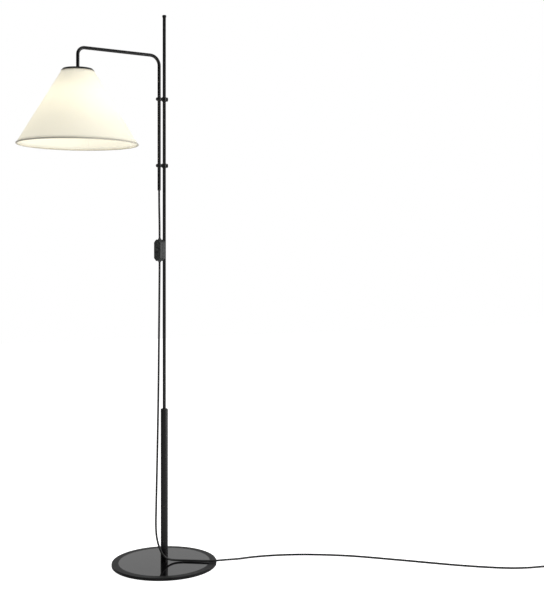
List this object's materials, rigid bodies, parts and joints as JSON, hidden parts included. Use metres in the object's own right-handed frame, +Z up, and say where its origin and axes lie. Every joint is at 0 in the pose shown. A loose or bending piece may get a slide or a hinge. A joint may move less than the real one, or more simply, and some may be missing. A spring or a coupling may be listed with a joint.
{
  "type": "pharmacy floor lamp",
  "caption": "Floor lamp with a round weighted base, slim pole, sliding and swinging arm, tapered fabric shade, and a mains cord with an inline switch.",
  "frame": {"origin": "centre of the round foot pad's underside, on the floor, under the pole", "axes": "+Z up along the pole; the arm reaches towards -X; the cord leaves towards +X"},
  "size_m": [1.3529, 0.5878, 1.35],
  "materials": {
    "pad_foam": "soft matt foam",
    "base_satin": "satin black powder coat",
    "base_gloss": "polished gloss black enamel",
    "black_lacquer": "semi-gloss black lacquer",
    "black_casting": "semi-gloss black on a zinc casting",
    "black_steel": "blackened steel, fluted knob",
    "plated_steel": "zinc plated",
    "brass": "bare brass",
    "black_nylon": "matt moulded nylon",
    "holder_plastic": "satin thermoplastic",
    "ceramic": "glazed insulator",
    "white_wire": "white coated wire",
    "shade_cloth": "cream plain-weave cloth on a translucent backing, lit from inside",
    "shade_hem_cloth": "same cloth rolled round the wire",
    "shade_tape": "narrow edging tape",
    "bulb_glass": "opal white glass, lit",
    "bulb_cap_metal": "rolled screw cap",
    "switch_plastic": "finely textured moulding",
    "rocker_plastic": "smooth moulding",
    "cord_pvc": "smooth satin PVC sheath",
    "tie_plastic": "matt strap",
    "plug_plastic": "satin moulding",
    "pin_metal": "nickel plated"
  },
  "bodies": {
    "stand": {"foot_pad": "pad_foam", "base_disc": "base_satin", "base_cover_plate": "base_gloss", "base_washer": "plated_steel", "base_bolt": "plated_steel", "stem_tube": "black_lacquer", "stem_foot_insert": "plated_steel", "stem_collar": "black_nylon", "pole_rod": "black_lacquer", "pole_lower_guide": "black_nylon", "pole_cap": "black_lacquer", "cord_hang_lower": "cord_pvc", "cord_floor": "cord_pvc", "cord_coil": "cord_pvc", "cord_tail": "cord_pvc", "coil_tie": "tie_plastic", "plug_body": "plug_plastic", "plug_pins": "pin_metal", "plug_strain_relief": "plug_plastic"},
    "slider": {"pole_sleeve_upper": "black_nylon", "pole_sleeve_lower": "black_nylon"},
    "arm": {"arm_tube": "black_lacquer", "arm_cable": "cord_pvc", "arm_ferrule": "black_nylon", "arm_lock_screws": "black_steel", "drop_collar": "brass", "clip_upper": "black_casting", "clip_lower": "black_casting", "cord_top": "cord_pvc", "switch_front_shell": "switch_plastic", "switch_back_shell": "switch_plastic", "switch_screws": "plated_steel", "switch_terminals": "brass", "cord_hang_upper": "cord_pvc"},
    "head": {"shade_cap": "black_lacquer", "swivel_bush": "black_nylon", "holder_spacer": "plated_steel", "holder_screws": "plated_steel", "lampholder_top": "holder_plastic", "lampholder_skirt": "holder_plastic", "holder_thread_shell": "brass", "holder_insulator": "ceramic", "centre_contact": "brass", "shade_ring_nut": "holder_plastic", "shade_top_frame": "white_wire", "shade_fabric": "shade_cloth", "shade_top_trim": "shade_tape", "shade_bottom_ring": "white_wire", "shade_hem": "shade_hem_cloth", "bulb_globe": "bulb_glass", "bulb_cap": "bulb_cap_metal"},
    "rocker": {"switch_rocker": "rocker_plastic"},
    "thumb_upper": {"thumb_screw_upper": "black_steel"},
    "thumb_lower": {"thumb_screw_lower": "black_steel"}
  },
  "joints": [
    {"name": "height_slide", "type": "slide", "parent": "stand", "child": "slider", "axis": [0, 0, 1], "range_m": [-0.3, 0.185], "deforming": ["cord_hang_lower"]},
    {"name": "arm_swing", "type": "hinge", "parent": "slider", "child": "arm", "pos_m": [0, 0, 1.0615], "axis": [0, 0, 1], "range_deg": [-170, 170], "deforming": ["cord_hang_upper"]},
    {"name": "head_swivel", "type": "hinge", "parent": "arm", "child": "head", "pos_m": [-0.22087, -0.0305, 1.1948], "axis": [0, 0, 1], "range_deg": [-170, 170]},
    {"name": "rocker_tilt", "type": "hinge", "parent": "arm", "child": "rocker", "pos_m": [-0.01801, -0.0068, 0.7724], "axis": [0.4431, -0.8965, 0], "range_deg": [-14, 0]},
    {"name": "thumb_upper_turn", "type": "hinge", "parent": "arm", "child": "thumb_upper", "pos_m": [0.00745, 0, 1.143], "axis": [1, 0, 0], "range_deg": [-180, 180]},
    {"name": "thumb_lower_turn", "type": "hinge", "parent": "arm", "child": "thumb_lower", "pos_m": [0.00745, 0, 0.98], "axis": [1, 0, 0], "range_deg": [-180, 180]}
  ]
}
